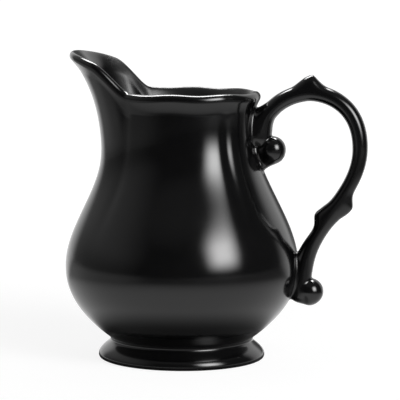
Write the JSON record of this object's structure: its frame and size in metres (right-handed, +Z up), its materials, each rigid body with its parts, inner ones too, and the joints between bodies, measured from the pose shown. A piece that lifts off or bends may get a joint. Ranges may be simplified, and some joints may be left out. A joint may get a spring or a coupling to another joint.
{
  "type": "creamer pitcher",
  "caption": "Footed pear-shaped ceramic creamer with a lobed neck, a broad raised pouring lip, a flared foot ring and a double-scroll handle with curled knobs, in black glaze.",
  "frame": {"origin": "on the table under the middle of the overall length, from the tip of the spout to the back of the handle", "axes": "+Z up out of the mouth, -X towards the spout, +X towards the handle, Y across the plane of symmetry"},
  "size_m": [0.1204, 0.093, 0.1226],
  "materials": {
    "black_glaze": "satin gloss",
    "fired_slip": "matte"
  },
  "bodies": {
    "root": {"body": "black_glaze", "spout": "black_glaze", "foot_ring": "black_glaze", "upper_scroll": "black_glaze", "lower_scroll": "black_glaze", "upper_knob": "black_glaze", "lower_knob": "black_glaze", "thumb_rest": "black_glaze", "spout_slip": "fired_slip", "foot_slip": "fired_slip", "knuckle_slip": "fired_slip", "upper_handle_slip": "fired_slip", "lower_handle_slip": "fired_slip"}
  },
  "joints": []
}
